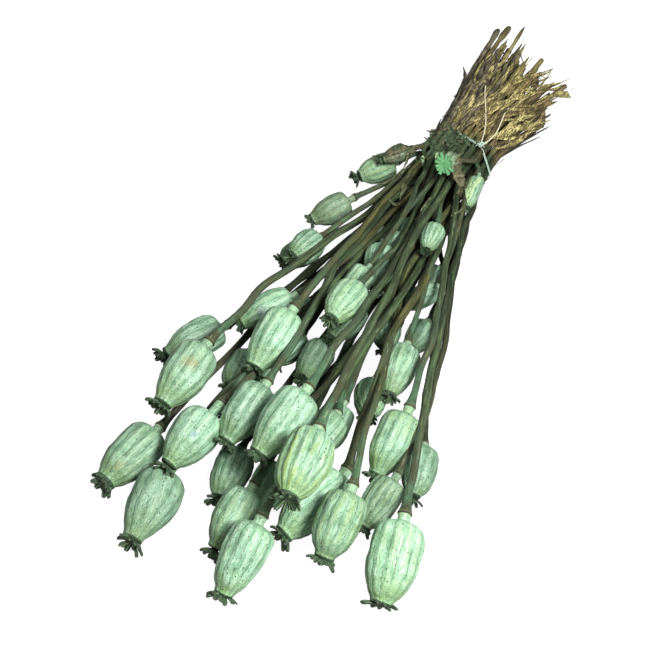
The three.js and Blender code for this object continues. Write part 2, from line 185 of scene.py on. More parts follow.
def close_piece(mend_normals=False):
    if mend_normals:
        bpy.ops.mesh.select_all(action="SELECT")
        bpy.ops.mesh.normals_make_consistent(inside=False)
    bpy.ops.object.mode_set(mode="OBJECT")


def show(piece, node=None):
    """Smooths a finished piece and makes it a part of the bunch, for its solid if it has one."""
    pick(piece)
    bpy.ops.object.shade_smooth()
    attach(piece, "root")
    if node:
        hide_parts(node)


def join_up(pieces, name):
    pick(*pieces)
    bpy.ops.object.join()
    return new_piece(name)


def finish_with(piece, kind, **settings):
    pick(piece)
    step = piece.modifiers.new("step", kind)
    for setting, value in settings.items():
        setattr(step, setting, value)
    bpy.ops.object.modifier_apply(modifier=step.name)


def round_off(piece, levels):
    finish_with(piece, "SUBSURF", levels=levels, render_levels=levels)


def choose(piece, wanted, edges=False):
    """Selects the wanted vertices in edit mode, or the edges whose middle is wanted."""
    bpy.ops.mesh.select_mode(type="EDGE" if edges else "VERT")
    bpy.ops.mesh.select_all(action="DESELECT")
    body = bmesh.from_edit_mesh(piece.data)
    for part in body.edges if edges else body.verts:
        if wanted((part.verts[0].co + part.verts[1].co) / 2 if edges else part.co):
            part.select_set(True)
    bmesh.update_edit_mesh(piece.data)


def resize(x, y, z=1, height=0):
    bpy.ops.transform.resize(value=(x, y, z), center_override=(0, 0, height))


def move(x, y, z):
    bpy.ops.transform.translate(value=(x * MM, y * MM, z * MM))


def grow_through(rings, extrude=bpy.ops.mesh.extrude_region_move):
    """Extrudes the selected ring through (height, radius) pairs, in edit mode, along Z."""
    height, radius = rings[0]
    for next_height, next_radius in rings[1:]:
        extrude(TRANSFORM_OT_translate={"value": (0, 0, next_height - height)})
        if next_radius != radius:
            resize(next_radius / radius, next_radius / radius, height=next_height)
        height, radius = next_height, next_radius


def give_finish(piece, zones):
    """Gives each face the finish of the first zone that reaches up to its middle."""
    for finish, _ in zones:
        piece.data.materials.append(finish)
    for face in piece.data.polygons:
        for slot, (_, top) in enumerate(zones):
            if face.center.z <= top:
                face.material_index = slot
                break


def store(piece, name, values):
    """Keeps a number or a vector for each vertex, or one for all of them, on the piece."""
    count = len(piece.data.vertices)
    values = np.asarray(values, dtype=np.float32)
    if len(values.shape) < 1 or len(values) != count:
        values = np.tile(values, (count, 1))
    several = values.size > count
    layer = piece.data.attributes.get(name)
    if layer is None:
        layer = piece.data.attributes.new(name, "FLOAT_VECTOR" if several else "FLOAT", "POINT")
    layer.data.foreach_set("vector" if several else "value", values.ravel())


def places(piece):
    spots = np.empty(len(piece.data.vertices) * 3, dtype=np.float32)
    piece.data.vertices.foreach_get("co", spots)
    return spots.reshape(-1, 3)


def put_places(piece, spots):
    piece.data.vertices.foreach_set("co", spots.ravel())
    piece.data.update()


def ready(piece, hold, *finishes):
    """Gives a model piece its finishes, and what every part of a stalk keeps for each vertex.

    hold says how far a vertex may be pushed by the uneven growth.
    """
    for finish in finishes:
        piece.data.materials.append(finish)
    group = piece.vertex_groups.new(name="growth")
    for vertex in piece.data.vertices:
        group.add([vertex.index], hold(vertex.co) if callable(hold) else hold, "REPLACE")
    store(piece, "ray", (0, 0, 0))
    return piece


def length_of(points):
    return sum((b - a).length for a, b in zip(points, points[1:]))


# ---- colours and nodes
def colour(red, green, blue):
    """An sRGB colour, 0 to 255, as Blender's linear one."""
    def linear(value):
        value /= 255
        return value / 12.92 if value <= 0.04045 else ((value + 0.055) / 1.055) ** 2.4
    return (linear(red), linear(green), linear(blue), 1.0)


class Wiring:
    """Adds nodes to one tree and joins them up."""

    def __init__(self, tree, finish=None):
        self.tree = tree
        self.finish = finish

    def feed(self, socket, value):
        if isinstance(value, bpy.types.NodeSocket):
            self.tree.links.new(value, socket)
        else:
            socket.default_value = value

    def node(self, kind, inputs=(), **settings):
        made = self.tree.nodes.new("ShaderNode" + kind)
        for setting, value in settings.items():
            setattr(made, setting, value)
        for name, value in dict(inputs).items():
            self.feed(made.inputs[name], value)
        return made

    def maths(self, operation, first, second=0.0, clamp=False):
        inputs = {0: first, 1: second}
        return self.node("Math", inputs, operation=operation, use_clamp=clamp).outputs[0]

    def times(self, first, second, clamp=False):
        return self.maths("MULTIPLY", first, second, clamp)

    def vector(self, operation, first, second=(0, 0, 0)):
        made = self.node("VectorMath", {0: first, 1: second}, operation=operation)
        return made.outputs["Value" if operation in ("DISTANCE", "LENGTH") else 0]

    def parts(self, vector):
        return self.node("SeparateXYZ", {0: vector}).outputs

    def attribute(self, name, output="Vector"):
        return self.node("Attribute", attribute_name=name).outputs[output]

    def number(self, name):
        return self.attribute(name, "Fac")

    def place(self):
        return self.node("TexCoord").outputs["Object"]

    def straight_place(self, across, along):
        """The place in the straight stalk in steps of the given widths, shifted for each stalk."""
        sizes = self.node("CombineXYZ", {0: across, 1: across, 2: along}).outputs[0]
        steps = self.vector("DIVIDE", self.attribute("straight"), sizes)
        shift = self.vector("MULTIPLY", self.attribute("own"), (37.0, 53.0, 71.0))
        return self.vector("ADD", steps, shift)

    def ramp(self, value, low, high, to_low=0.0, to_high=1.0):
        inputs = {"Value": value, "From Min": low, "From Max": high, "To Min": to_low, "To Max": to_high}
        return self.node("MapRange", inputs, interpolation_type="SMOOTHSTEP").outputs[0]

    def mix(self, share, first, second, way="MIX"):
        """Mixes two tones, each a socket or an sRGB triple."""
        made = self.node("Mix", data_type="RGBA", blend_type=way)
        self.feed(made.inputs[0], share)
        for place, tone in ((6, first), (7, second)):
            self.feed(made.inputs[place], colour(*tone) if isinstance(tone, tuple) else tone)
        return made.outputs[2]

    def layer(self, tone, layers):
        """Lays tints over a tone, the deepest first, each given as (mask, strength, tint)."""
        for mask, strength, tint in layers:
            tone = self.mix(self.times(mask, strength), tone, tint)
        return tone

    def darken(self, tone, shade):
        grey = self.node("CombineColor", {0: shade, 1: shade, 2: shade}).outputs[0]
        return self.mix(1.0, tone, grey, "MULTIPLY")

    def noise(self, place, detail, roughness=0.5, scale=1.0):
        inputs = {"Vector": place, "Scale": scale, "Detail": detail, "Roughness": roughness}
        return self.node("TexNoise", inputs).outputs[0]

    def noise_in_steps(self, steps, detail, roughness=0.5):
        """Noise by the object's own place, its grain sized along X, Y and Z in mm."""
        spot = self.vector("DIVIDE", self.place(), tuple(step * MM for step in steps))
        return self.noise(spot, detail, roughness)

    def effect(self, name, *values):
        """One of the shared effects, fed in the order of its inputs."""
        made = self.node("Group", node_tree=bpy.data.node_groups[name])
        for socket, value in zip(made.inputs, values):
            self.feed(socket, value)
        return made.outputs[0]

    def streaks(self, width, length, low, high):
        return self.effect("long_streaks", width * MM, length * MM, low, high)

    def patches(self, size, low=0.3, high=0.7):
        return self.effect("soft_patches", size * MM, size * MM, low, high)

    def specks(self, spacing, size, amount):
        return self.effect("dark_specks", spacing * MM, size, amount)

    def ribs(self, low, high, wander):
        return self.effect("rib_lines", low, high, wander)

    def shader(self, kind="BSDF_PRINCIPLED"):
        return next(node for node in self.tree.nodes if node.type == kind)

    def finished(self, roughness, base, height=None, strength=0.3, depth=0.4):
        """Feeds the finish's shader; depth is the height of its relief in mm."""
        skin = self.shader()
        self.feed(skin.inputs["Base Color"], base)
        self.feed(skin.inputs["Roughness"], roughness)
        if height is not None:
            bump = self.node("Bump", {"Height": height, "Strength": strength, "Distance": depth * MM})
            self.feed(skin.inputs["Normal"], bump.outputs[0])
        return self.finish


def begin_finish(name):
    finish = bpy.data.materials.new(name)
    finish.use_nodes = True
    return Wiring(finish.node_tree, finish)


def new_effect(name, inputs, output):
    """A node group whose inputs are numbers, or vectors where their start value is one."""
    tree = bpy.data.node_groups.new(name, "ShaderNodeTree")
    for label, start in inputs.items():
        kind = "NodeSocketVector" if isinstance(start, tuple) else "NodeSocketFloat"
        tree.interface.new_socket(name=label, in_out="INPUT", socket_type=kind).default_value = start
    tree.interface.new_socket(name=output, in_out="OUTPUT", socket_type="NodeSocketFloat")
    come = tree.nodes.new("NodeGroupInput").outputs
    go = tree.nodes.new("NodeGroupOutput").inputs[output]
    return Wiring(tree), come, go


def make_marks(name, output, detail):
    """Soft-edged marks of a given width and length."""
    w, come, go = new_effect(name, {"Width": MM, "Length": 10 * MM, "Low": 0.4, "High": 0.6}, output)
    noise = w.noise(w.straight_place(come["Width"], come["Length"]), detail, 0.6)
    w.feed(go, w.ramp(noise, come["Low"], come["High"]))


def make_specks():
    w, come, go = new_effect("dark_specks", {"Spacing": 3 * MM, "Size": 0.15, "Amount": 0.5}, "Speck")
    spot = w.straight_place(come["Spacing"], come["Spacing"])
    cells = w.node("TexVoronoi", {"Vector": spot, "Scale": 1.0, "Randomness": 1.0}).outputs
    luck = w.node("SeparateColor", {0: cells["Color"]}).outputs[0]
    radius = w.times(luck, come["Size"])
    speck = w.ramp(cells["Distance"], w.times(radius, 0.6), radius, 1.0, 0.0)
    crowd = w.noise(spot, 1.0, scale=0.25)
    allowed = w.maths("GREATER_THAN", crowd, w.maths("SUBTRACT", 1.0, come["Amount"]))
    w.feed(go, w.times(speck, allowed))


def make_rib_lines():
    """Wandering lines along the grooves of a head."""
    w, come, go = new_effect("rib_lines", {"Low": 0.6, "High": 0.95, "Wander": 0.6}, "Line")
    flat = w.parts(w.attribute("straight"))
    angle = w.maths("ARCTAN2", flat[0], flat[1])
    noise = w.noise(w.straight_place(9 * MM, 14 * MM), 3.0, 0.65)
    wander = w.times(w.maths("SUBTRACT", noise, 0.5), come["Wander"])
    swing = w.maths("ADD", w.times(angle, w.number("ribs")), w.times(wander, 6.0))
    depth = w.times(w.maths("COSINE", swing), -1.0)
    w.feed(go, w.ramp(depth, come["Low"], come["High"]))


def make_stain():
    """A ragged stain round one place."""
    w, come, go = new_effect("stain_near", {"Place": (0.0, 0.0, 0.0), "Reach": 10 * MM}, "Stain")
    ragged = w.times(w.noise_in_steps((2.2, 2.2, 2.2), 4.0, 0.75), 1.6)
    gap = w.vector("DISTANCE", w.place(), come["Place"])
    edge = w.maths("ADD", w.maths("DIVIDE", gap, come["Reach"]), ragged)
    w.feed(go, w.ramp(edge, 0.95, 1.35, 1.0, 0.0))


make_marks("long_streaks", "Streak", 3.0)
make_marks("soft_patches", "Patch", 4.0)
make_specks()
make_rib_lines()
make_stain()


def make_capsule_finish(stains):
    """Pale mint skin with a whiter bloom, specks and olive patches; darker lines along the ribs and darker
    valleys are painted shade in the grooves, and paler ridges a painted highlight.
    """
    w = begin_finish("capsule_skin")
    share = w.number("share")
    bloom = w.patches(11, 0.36, 0.64)
    fine = w.streaks(0.9, 13, 0.42, 0.66)
    # the bottoms of the grooves: painted darker as shade, and dented in the relief
    lines = w.ribs(0.8, 1.0, 0.7)
    scratches = w.streaks(0.45, 3.6, 0.56, 0.7)
    on_ridge = w.times(w.streaks(15, 34, 0.36, 0.6), w.ramp(w.ribs(0.5, -0.7, 0.3), 0.0, 1.0, 0.25, 0.95))
    by_crown = w.times(w.ramp(share, 0.56, 0.9), w.ramp(w.patches(7), 0.0, 1.0, 0.35, 0.85))
    skin = w.layer(w.mix(bloom, (118, 162, 128), (162, 206, 174)), (
        (fine, 0.6, (92, 132, 98)),
        (w.streaks(1.7, 22, 0.5, 0.72), 0.55, (208, 234, 206)),
        # painted shade in the wide valleys between the ribs, then a painted highlight along the ridges
        (w.ribs(-0.3, 0.9, 0.5), 0.2, (96, 138, 102)),
        (w.ribs(-0.4, -0.95, 0.5), 0.22, (214, 238, 212)),
        # painted shade: dark lines in patches down the bottoms of the grooves
        (lines, w.times(w.streaks(5, 12, 0.36, 0.58), 0.5), (62, 90, 60)),
        (on_ridge, w.number("olive"), (140, 168, 92)),
        (by_crown, 1.0, (118, 150, 92)),
        (w.ramp(share, 0.1, 0.3, 0.35, 0.0), 1.0, (136, 172, 138)),
        (w.ramp(share, 0.05, 0.13, 0.7, 0.0), 1.0, (144, 178, 140)),
        (w.specks(2.3, 0.3, 0.56), 0.85, (48, 52, 46)),
        (w.specks(1.25, 0.4, 0.56), 0.75, (52, 72, 54)),
        (scratches, 0.75, (62, 92, 66)),
        (w.streaks(0.8, 2.4, 0.56, 0.7), 0.4, (220, 240, 216)),
    ))
    for place, reach, tint, strength in stains:
        skin = w.layer(skin, ((w.effect("stain_near", place, reach * MM), strength, tint),))
    withered = w.ramp(w.patches(6, 0.25, 0.75), 0.0, 1.0, 0.5, 1.0)
    brown = w.mix(fine, (112, 104, 76), (70, 66, 48))
    skin = w.mix(w.times(w.number("dry"), withered, clamp=True), skin, brown)
    # partly each head's own tone, partly painted light and shade for how brightly the head is lit
    skin = w.darken(skin, w.number("shade"))
    height = w.maths("ADD", w.times(w.streaks(1.3, 7, 0.3, 0.7), 0.7), w.times(w.patches(1.0), 0.3))
    height = w.maths("SUBTRACT", height, w.times(lines, 0.6))
    height = w.maths("SUBTRACT", height, w.times(scratches, 0.4))
    return w.finished(w.ramp(bloom, 0.0, 1.0, 0.38, 0.56), skin, height, 0.6, 0.5)


def make_stem_finish():
    """Dried stem: grey-green to olive by the tie, brown-olive near the heads, straw at the cut ends, with
    painted highlight streaks and painted shade low in the pile.
    """
    w = begin_finish("stem_bark")
    own = w.parts(w.attribute("own"))
    from_head = w.parts(w.attribute("straight"))[2]
    spot = w.parts(w.place())
    fine = w.streaks(0.5, 26, 0.4, 0.62)
    wide = w.streaks(2.2, 40, 0.38, 0.62)
    patch = w.patches(24, 0.42, 0.6)
    green = w.mix(wide, (32, 52, 28), (86, 110, 70))
    olive = w.mix(wide, (48, 54, 24), (112, 110, 56))
    stem = w.layer(w.mix(w.ramp(own[0], 0.4, 0.85), green, olive), (
        (patch, 0.4, (66, 70, 46)),
        (w.ramp(from_head, -0.13, -0.03), 0.8, w.mix(patch, (76, 78, 52), (78, 102, 74))),
        (w.times(w.ramp(from_head, -0.05, -0.004), patch), 0.6, (84, 132, 96)),
    ))
    ragged = w.maths("ADD", spot[0], w.times(w.patches(12), 14 * MM))
    cut = w.ramp(ragged, TIE.x - 6 * MM, TIE.x + 8 * MM, 1.0, 0.0)
    grey = w.mix(wide, (84, 80, 62), (150, 142, 112))
    ochre = w.mix(wide, (122, 112, 58), (206, 192, 122))
    tan = w.mix(wide, (106, 90, 58), (178, 158, 108))
    side = w.maths("ADD", spot[1], w.times(w.maths("SUBTRACT", own[1], 0.5), 44 * MM))
    straw = w.mix(w.ramp(side, TIE.y - 34 * MM, TIE.y - 8 * MM), grey, ochre)
    straw = w.mix(w.ramp(side, TIE.y + 12 * MM, TIE.y + 40 * MM), straw, tan)
    straw = w.layer(straw, ((patch, 0.5, (92, 84, 56)),))
    stem = w.layer(w.mix(cut, stem, straw), (
        (fine, 0.55, w.mix(cut, (40, 50, 36), (60, 50, 32))),
        # painted highlight: pale streaks along the stems and straw ends stand in for glints of light
        (w.streaks(0.9, 14, 0.6, 0.72), 0.62, w.mix(cut, (156, 174, 132), (232, 220, 172))),
        (w.number("dry"), 0.6, (84, 74, 50)),
        (w.specks(2.4, 0.3, 0.5), 0.6, (34, 34, 26)),
    ))
    # painted shade: darker towards the floor, deepest low in the pile where the stalks shade each other
    stem = w.darken(stem, w.ramp(spot[2], 8 * MM, 42 * MM, 0.3, 1.08))
    return w.finished(0.6, stem, w.maths("ADD", fine, w.times(wide, 0.8)), 0.7, 0.5)


def make_pith_finish():
    """The open cut end: pale torn pith round a dark hollow."""
    w = begin_finish("cut_pith")
    flat = w.parts(w.attribute("straight"))
    radius = w.vector("LENGTH", w.node("CombineXYZ", {0: flat[0], 1: flat[1]}).outputs[0])
    torn = w.patches(1.2)
    rim = w.mix(torn, (150, 132, 88), (206, 192, 150))
    tone = w.mix(w.ramp(radius, 1.2 * MM, 2.2 * MM, 1.0, 0.0), rim, (58, 46, 30))
    return w.finished(0.85, tone, torn, 0.8, 0.5)


def make_ring_finish():
    """The scar ring where the petals sat: dark brown and olive lines round the stem."""
    w = begin_finish("petal_scar")
    uneven = w.patches(2.2)
    height = w.maths("ADD", w.parts(w.attribute("straight"))[2], w.times(uneven, 0.5 * MM))
    wave = w.maths("SINE", w.times(height, SCAR_WAVES))
    tone = w.mix(w.ramp(wave, -0.6, 0.8), (40, 44, 30), (92, 100, 64))
    return w.finished(0.7, tone, uneven, 0.6, 0.4)


def make_crown_finish():
    """Dark green rays with paler rims and a painted highlight along the top of the raised middle of each."""
    w = begin_finish("crown_rays")
    ray = w.parts(w.attribute("ray"))
    aside = w.maths("ABSOLUTE", ray[1])
    patch = w.patches(2.5)
    tone = w.layer(w.mix(patch, (40, 60, 42), (66, 92, 62)), (
        (w.ramp(aside, 0.7, 1.0), 0.45, (104, 132, 94)),
        # painted highlight: a pale line along the top of each ray's raised middle
        (w.ramp(aside, 0.06, 0.26, 0.85, 0.0), w.ramp(ray[2], 0.3, 0.7), (146, 172, 126)),
        (w.number("fresh"), w.ramp(aside, 0.5, 0.85, 1.0, 0.0), (106, 172, 114)),
        (w.ramp(ray[0], 0.7, 1.0, 0.0, 0.6), patch, (52, 46, 34)),
    ))
    return w.finished(0.68, tone, patch, 0.7, 0.5)


# ---- the routes of the stalks
def rings_along(level):
    """The middle and radius of each ring of vertices, walking along a body from its first ring."""
    seen = set(level)
    rings = []
    while level:
        middle = sum((vertex.co for vertex in level), Vector()) / len(level)
        rings.append((middle, max((vertex.co - middle).length for vertex in level)))
        following = []
        for vertex in level:
            for edge in vertex.link_edges:
                other = edge.other_vert(vertex)
                if other not in seen:
                    seen.add(other)
                    following.append(other)
        level = following
    return rings


def merged_body(node):
    body = bmesh.new()
    body.from_mesh(node.data)
    bmesh.ops.remove_doubles(body, verts=body.verts, dist=1e-6)
    return body


HEAD_RINGS = 11
# number: how far the head lies from its solid's, in mm along X and Y
NUDGES = {
    2: (3, -5), 3: (-4, 7), 4: (2, 6), 5: (12, -3), 6: (-3, 6), 7: (4, 2), 8: (5, -3), 11: (6, 1),
    12: (1, 15), 14: (0, -11), 15: (-5, -3), 16: (-2, -5), 17: (-8, 2), 18: (2, -5), 19: (-4, 7), 32: (4, 2),
    37: (12, 7), 38: (-6, -10),
}
# number: how much shorter the cut end is than its solid's, in mm
TRIMS = {1: 36, 8: 22, 18: 32, 20: 38, 45: 34, 37: 16, 21: 22, 42: 16, 31: 10, 29: 12, 3: 8, 25: 10}


def read_stalk(number):
    """Where one stalk runs, from its solid: stem points, petal ring, crown and head width."""
    body = merged_body(frame["nodes"][f"poppy_stalk_{number:02d}"])
    poles = [vertex for vertex in body.verts if len(vertex.link_edges) == 8]
    rings = rings_along([min(poles, key=lambda vertex: vertex.co.x)])
    body.free()
    head = rings[-HEAD_RINGS:]
    stem = [middle for middle, _ in rings[:-HEAD_RINGS]]
    ring = head[0][0]
    crown = head[-1][0]
    nudge = Vector((*NUDGES.get(number, (0, 0)), 0)) * MM
    for spot in stem:
        share = min(1, max(0, (spot.x - TIE.x) / (ring.x - TIE.x)))
        spot += nudge * share ** 1.5
    ring = ring + nudge
    crown = crown + nudge
    stem[1] += (stem[2] - stem[1]).normalized() * TRIMS.get(number, 0) * MM
    return {
        "stem": stem[1:],
        "ring": ring,
        "crown": crown,
        "length": (crown - ring).length,
        "width": 2 * max(radius for _, radius in head),
    }


ROUTES = {number: read_stalk(number) for number in range(1, STALKS + 1)}


def on_head(number, along, towards=(0.62, 0.33, 0.71), out=0.4):
    """A place on the skin of a head: a share of its length, on the side that faces towards."""
    route = ROUTES[number]
    axis = (route["crown"] - route["ring"]).normalized()
    side = Vector(towards) - axis * Vector(towards).dot(axis)
    spot = route["ring"].lerp(route["crown"], along)
    return tuple(spot + side.normalized() * route["width"] * out)


# place, reach in mm, tint and strength of each stain
CAPSULE = make_capsule_finish([
    (on_head(7, 0.42), 12, (160, 142, 92), 0.5),
    (on_head(7, 0.3, (0.3, -0.8, 0.6)), 9, (140, 112, 78), 0.5),
    (on_head(5, 0.55), 7, (120, 142, 156), 0.7),
    (on_head(11, 0.6), 9, (96, 88, 108), 0.6),
    (on_head(2, 0.8), 6, (130, 140, 84), 0.5),
    (on_head(4, 0.75), 9, (136, 140, 84), 0.6),
])
STEM = make_stem_finish()
PITH = make_pith_finish()
RING = make_ring_finish()
CROWN = make_crown_finish()

# ---- model heads
CAPSULE_OUTLINE = [
    (0, 0.12), (0.01, 0.19), (0.028, 0.31), (0.06, 0.405), (0.11, 0.46), (0.19, 0.49),
    (0.3, 0.5), (0.43, 0.5), (0.56, 0.485), (0.67, 0.452), (0.77, 0.4), (0.855, 0.338),
    (0.92, 0.27), (0.965, 0.225), (1, 0.205),
]
FLARE_OUTLINE = [
    (-15, 2.45), (-14, 2.7), (-10, 2.85), (-6, 3.3), (-3.2, 4.0), (-1.8, 4.35), (-1.5, 4.75),
    (-0.9, 4.85), (-0.3, 4.7), (0.0, 4.25),
]
# neck share, where the crown begins, fullness, ribs, rib depth
HEAD_KINDS = {
    "barrel": (0.08, 0.935, 0.85, 13, 0.1),
    "common": (0.09, 0.925, 1.0, 12, 0.1),
    "long_neck": (0.19, 0.93, 0.95, 12, 0.09),
    "round": (0.1, 0.87, 0.85, 14, 0.17),
    "slim": (0.11, 0.93, 1.12, 11, 0.08),
    "shrunken": (0.12, 0.9, 1.15, 9, 0.34),
}


def model_head(kind):
    """One seed head standing on the origin: flare, petal scar, neck and capsule, along Z."""
    neck, crown_from, fullness, ribs, depth = HEAD_KINDS[kind]
    rings = [(height * MM, radius * MM) for height, radius in FLARE_OUTLINE]
    neck_end = neck * MODEL_LENGTH
    rings.append((0.25 * neck_end, 0.119 * MODEL_WIDTH))
    rings.append((0.7 * neck_end, 0.112 * MODEL_WIDTH))
    capsule_length = crown_from * MODEL_LENGTH - neck_end
    for along, radius in CAPSULE_OUTLINE:
        fuller = 0.5 * (radius / 0.5) ** (fullness if 0.03 < along < 0.95 else 1.0)
        rings.append((neck_end + along * capsule_length, fuller * MODEL_WIDTH))
    top, last = rings[-1]
    rings += [(top + 0.8 * MM, last), (top + 1.8 * MM, last * 0.9), (top + 2.2 * MM, last * 0.45)]
    head = open_circle(kind, 2 * ribs, *rings[0])
    grow_through(rings)

    def in_groove(spot):
        valley = math.cos(ribs * math.atan2(spot.x, spot.y)) < 0
        return valley and neck_end + 0.06 * capsule_length < spot.z < top - 0.02 * capsule_length

    choose(head, in_groove)
    resize(1 - depth, 1 - depth)
    close_piece(mend_normals=True)
    round_off(head, 2)
    give_finish(head, [
        (STEM, -1.75 * MM), (RING, 0.1 * MM), (CAPSULE, top + 0.4 * MM), (CROWN, 1.0),
    ])
    return ready(head, lambda spot: min(1.0, max(0.1, (spot.z - neck_end) / (8 * MM))))


# length, width and thickness of one ray of the crown
RAY = (9.8 * MM, 3.5 * MM, 1.3 * MM)


def model_ray():
    """One ray of the crown along X, from a thin foot at the middle of the star to its blunt tip."""
    length, width, thick = RAY
    ray = open_block("ray", (length, width, thick), (length / 2, 0, 0))
    bpy.ops.mesh.subdivide(number_cuts=3)
    for share, across, up in (
        (0, 0.15, 0.7), (0.25, 0.42, 0.85), (0.5, 0.8, 1.0), (0.75, 1.05, 0.9), (1, 0.66, 0.5),
    ):
        choose(ray, lambda spot: abs(spot.x / length - share) < 0.1)
        resize(1, across, up)
    # the raised middle, the notched tip, the drooping edges and the lifted end
    choose(ray, lambda spot: abs(spot.y) < 0.1 * MM and spot.z > 0.2 * MM)
    move(0, 0, 0.45)
    choose(ray, lambda spot: abs(spot.y) < 0.1 * MM and spot.x > 0.9 * length)
    move(-0.9, 0, 0)
    choose(ray, lambda spot: abs(spot.y) > 0.3 * width and spot.x > 0.6 * length)
    move(0, 0, -0.6)
    choose(ray, lambda spot: spot.x > 0.9 * length)
    move(0, 0, 0.9)
    close_piece()
    round_off(ray, 1)
    ready(ray, 0.5, CROWN)
    store(ray, "ray", places(ray) / np.array([length, width / 2, thick]))
    return ray


def model_crown(name, rays, lean, seed):
    """A star of rays round the middle of the crown; lean is how far each one opens from the axis."""
    luck = random.Random(seed)
    ray = model_ray()
    fingers = []
    for index in range(rays):
        finger = copy_of(ray, f"finger_{index}")
        size = Matrix.Diagonal((luck.uniform(0.76, 1.22), luck.uniform(0.8, 1.12), 1, 1))
        opening = math.radians(lean + luck.uniform(-14, 12))
        round_about = 2 * math.pi * (index + luck.uniform(-0.12, 0.12)) / rays
        spread = Matrix.Rotation(round_about, 4, "Z")
        rise = Matrix.Rotation(-(math.pi / 2 - opening), 4, "Y")
        finger.matrix_world = spread @ rise @ size
        set_place(finger)
        fingers.append(finger)
    put_away(ray)
    return join_up(fingers, name)


# name: rays, lean from the axis
CROWN_KINDS = {"spread": (13, 86), "open": (13, 66), "upright": (12, 50)}


# ---- model stems
def rib_stem(piece):
    """Draws in the grooves between a stem's six ribs."""
    choose(piece, lambda spot: math.cos(6 * math.atan2(spot.x, spot.y)) < 0)
    resize(0.93, 0.93)


def model_stem():
    """A straight stem one metre long below the origin, slightly ribbed, with three swollen joints."""
    stem = open_circle("stem", STEM_SIDES, -1, END_RADIUS)
    grow_through([(-1, END_RADIUS), (0, TOP_RADIUS)])
    choose(stem, lambda spot: abs(spot.z + 0.5) < 0.1, edges=True)
    bpy.ops.mesh.subdivide(number_cuts=STEM_RINGS - 1)
    rib_stem(stem)
    for joint in (0.27, 0.52, 0.8):
        ring = round(joint * STEM_RINGS) / STEM_RINGS
        for gap, size in ((0, 1.22), (1, 1.08), (-1, 1.06)):
            height = -1 + ring + gap / STEM_RINGS
            choose(stem, lambda spot: abs(spot.z - height) < 0.3 / STEM_RINGS)
            resize(size, size, height=height)
    close_piece(mend_normals=True)
    return ready(stem, 0.14, STEM)


def model_end(kind):
    """The last bit of a stem, below the origin, with its cut or torn end."""
    rings = [(0.0, END_RADIUS)]
    steps = 9
    for step in range(1, steps + 1):
        share = step / steps
        radius = END_RADIUS
        if kind == "pointed":
            radius *= 1 - 0.86 * max(0.0, share - 0.25) ** 1.4 / 0.75 ** 1.4
        elif kind == "torn":
            radius *= 1 - 0.35 * share ** 2
        rings.append((-END_LENGTH * share, radius))
    end = open_circle("end_" + kind, STEM_SIDES, 0, END_RADIUS, "NOTHING")
    grow_through(rings, bpy.ops.mesh.extrude_edges_move)
    bpy.ops.mesh.edge_face_add()
    if kind != "pointed":
        bpy.ops.mesh.inset(thickness=0.8 * MM, depth=0)
        bpy.ops.mesh.extrude_region_move(TRANSFORM_OT_translate={"value": (0, 0, 4 * MM)})
    low = -END_LENGTH + 0.5 * MM
    if kind == "slanted":
        choose(end, lambda spot: spot.z < low)
        bpy.ops.transform.rotate(
            value=-math.radians(48), orient_axis="X", center_override=(0, 0, -END_LENGTH)
        )
        resize(1, 1.4)
    if kind == "torn":
        for start, reach in ((0.2, 7), (2.2, 4), (4.1, 9)):
            choose(end, lambda spot: spot.z < low and math.cos(
                math.atan2(spot.y, spot.x) - start) > 0.75)
            move(0, 0, -reach)
    rib_stem(end)
    close_piece(mend_normals=True)
    ready(end, 0.5, STEM, PITH)
    for face in end.data.polygons:
        flat = abs(face.normal.z) > 0.6 and face.center.z < -END_LENGTH * 0.7
        face.material_index = 1 if flat and kind != "pointed" else 0
    return end


def model_sliver():
    """A strip of bark that has peeled off, along Z, pointed at both ends and curled."""
    length, width, thick = SLIVER_LENGTH, 2.6 * MM, 0.5 * MM
    sliver = open_block("sliver", (thick, width, length), (0, 0, length / 2))
    choose(sliver, lambda spot: abs(spot.z - length / 2) < 1 * MM, edges=True)
    bpy.ops.mesh.subdivide(number_cuts=7)
    widths = (0.2, 0.6, 0.85, 1, 1, 0.9, 0.7, 0.45, 0.1)
    curl = (0.1, 0, 0.1, 0.3, 0.8, 1.5, 2.2, 3, 3.6)
    for step, (across, out) in enumerate(zip(widths, curl)):
        height = length * step / 8
        choose(sliver, lambda spot: abs(spot.z - height) < 1 * MM)
        resize(1, across)
        move(out, 0, 0)
    close_piece()
    return ready(sliver, 0.5, STEM)


# ---- one stalk
DRYNESS = {7: 0.1, 21: 0.15, 34: 0.5, 36: 0.9, 37: 0.75}
# head kind, crown kind, then number: olive share
KNOWN_HEADS = (
    ("barrel", "spread", {1: 0.3}),
    ("barrel", "open", {9: 0.2, 17: 0.15}),
    ("common", "open", {
        2: 0.2, 4: 0.2, 7: 0.3, 8: 0.7, 11: 0.2, 12: 0.25, 14: 0.1, 15: 0.15, 18: 0.2, 19: 0.75, 23: 0.5,
    }),
    ("common", "upright", {6: 0.1, 10: 0.45, 20: 0.15, 35: 0.6}),
    ("slim", "open", {3: 0.15, 26: 0.1, 34: 0.3}),
    ("slim", "upright", {38: 0.0}),
    ("round", "open", {16: 0.95, 21: 0.4, 32: 0.2}),
    ("long_neck", "upright", {5: 0.1}),
    ("shrunken", "upright", {36: 0.4}),
    ("shrunken", "spread", {37: 0.0}),
)
TRAITS = {
    number: (head, crown, olive) for head, crown, olives in KNOWN_HEADS for number, olive in olives.items()
}
